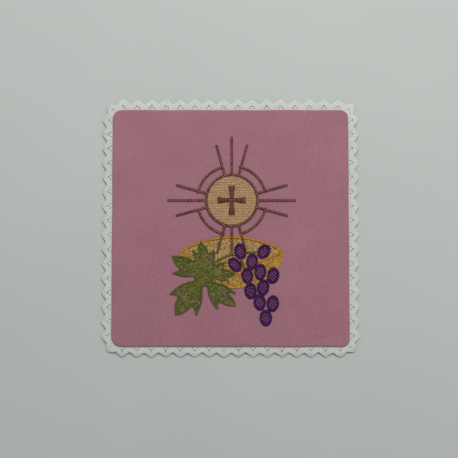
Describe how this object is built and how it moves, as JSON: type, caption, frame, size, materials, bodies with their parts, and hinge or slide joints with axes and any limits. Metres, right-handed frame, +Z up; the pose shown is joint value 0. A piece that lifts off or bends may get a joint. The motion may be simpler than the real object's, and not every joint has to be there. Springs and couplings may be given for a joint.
{
  "type": "chalice pall",
  "caption": "Stiff square cloth cover for a chalice, cased in rose cloth, edged with zigzag lace and embroidered with a host in rays, a cup, a vine leaf and grapes.",
  "frame": {"origin": "middle of the underside, on the surface that the pall lies on", "axes": "+Z up out of the embroidered face, +Y towards the top of the emblem, +X to its right"},
  "size_m": [0.1632, 0.1632, 0.0042],
  "materials": {
    "rose_cloth": "matte plain weave",
    "white_lace": "cotton bobbin lace",
    "tan_thread": "fill stitches in rayon thread",
    "brown_thread": "line stitches in rayon thread",
    "ochre_thread": "satin stitches in rayon thread",
    "pale_gold_thread": "open fill stitches in rayon thread",
    "green_thread": "fill and satin stitches in rayon thread",
    "purple_thread": "satin stitches in rayon thread"
  },
  "bodies": {
    "root": {"covered_board": "rose_cloth", "lace_edging": "white_lace", "host": "tan_thread", "host_cross": "brown_thread", "glory": "brown_thread", "ray_in_cup_1": "brown_thread", "ray_in_cup_2": "brown_thread", "ray_in_cup_3": "brown_thread", "cup_rim_1": "ochre_thread", "cup_rim_2": "ochre_thread", "cup_rim_3": "ochre_thread", "cup_front_1": "ochre_thread", "cup_front_2": "ochre_thread", "cup_front_3": "ochre_thread", "cup_front_4": "ochre_thread", "cup_inside_1": "pale_gold_thread", "cup_inside_2": "pale_gold_thread", "cup_inside_3": "pale_gold_thread", "cup_inside_4": "pale_gold_thread", "cup_inside_5": "pale_gold_thread", "vine_leaf": "green_thread", "stalk_1": "green_thread", "stalk_2": "green_thread", "stalk_3": "green_thread", "grape_01": "purple_thread", "grape_02": "purple_thread", "grape_03": "purple_thread", "grape_04": "purple_thread", "grape_05": "purple_thread", "grape_06": "purple_thread", "grape_07": "purple_thread", "grape_08": "purple_thread", "grape_09": "purple_thread", "grape_10": "purple_thread", "grape_11": "purple_thread", "grape_12": "purple_thread"}
  },
  "joints": []
}
